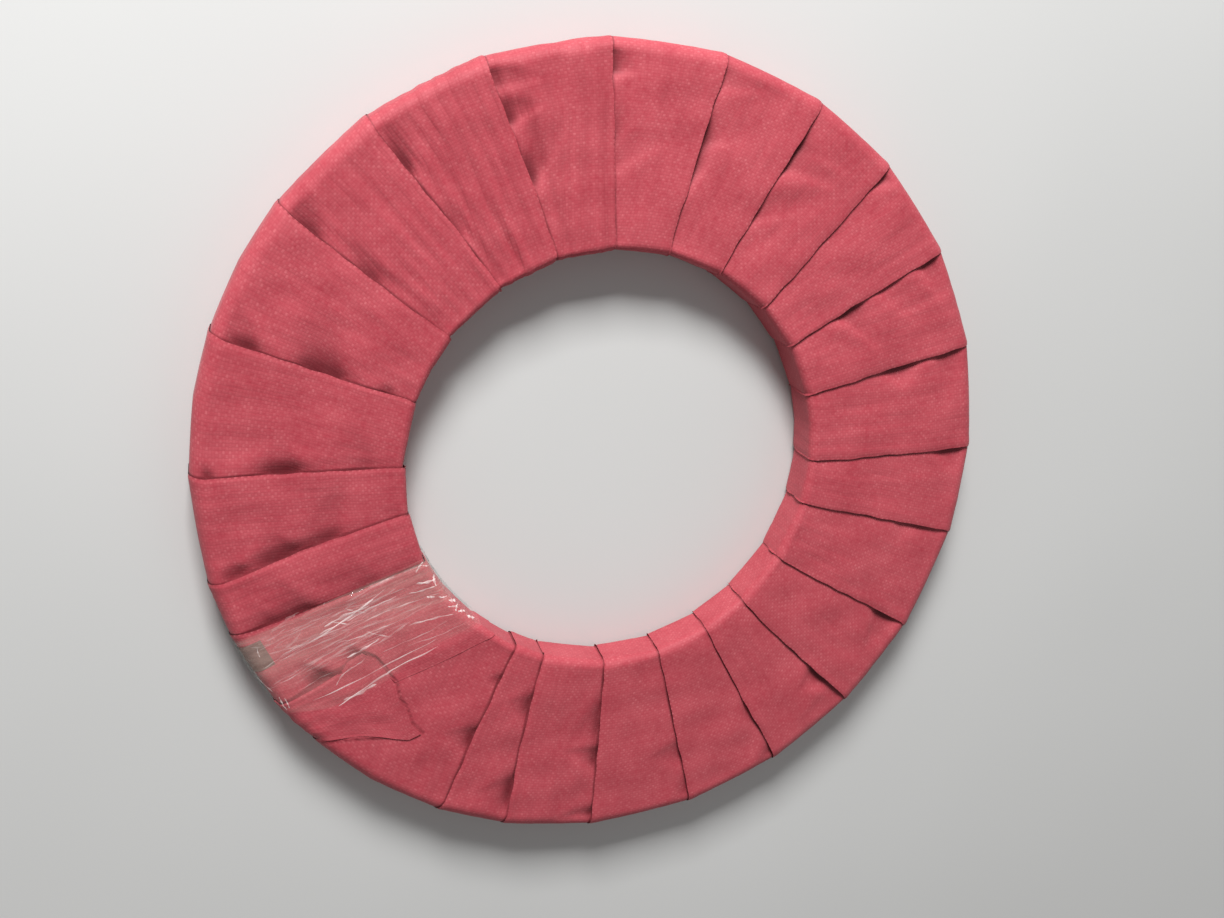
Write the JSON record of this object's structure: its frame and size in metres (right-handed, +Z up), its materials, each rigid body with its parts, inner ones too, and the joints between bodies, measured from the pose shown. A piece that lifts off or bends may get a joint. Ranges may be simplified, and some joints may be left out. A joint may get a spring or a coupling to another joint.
{
  "type": "wrapped coil of heating wire",
  "caption": "Flat ring coil of resistance wire, wrapped in a lapped woven plastic strip whose end is held by clear stretch film over a blank rim label.",
  "frame": {"origin": "on the coil's axis, at the level of the floor that it lies on", "axes": "+Z up along the coil's axis; the stretch film, the strip's end and the label lie between -X and -Y"},
  "size_m": [0.6396, 0.6385, 0.0414],
  "materials": {
    "wire": "bright annealed resistance wire with a grey-green oxide",
    "woven_strip": "rose-red woven polypropylene strip, faint checker weave, soft sheen",
    "stretch_film": "clear stretch film in a few layers, glossy, with whitish wrinkles",
    "label_paper": "blank sticker paper, matte, dull grey with a little green"
  },
  "bodies": {
    "root": {"wire_coil": "wire", "woven_wrap": "woven_strip", "film_band": "stretch_film", "paper_label": "label_paper"}
  },
  "joints": []
}
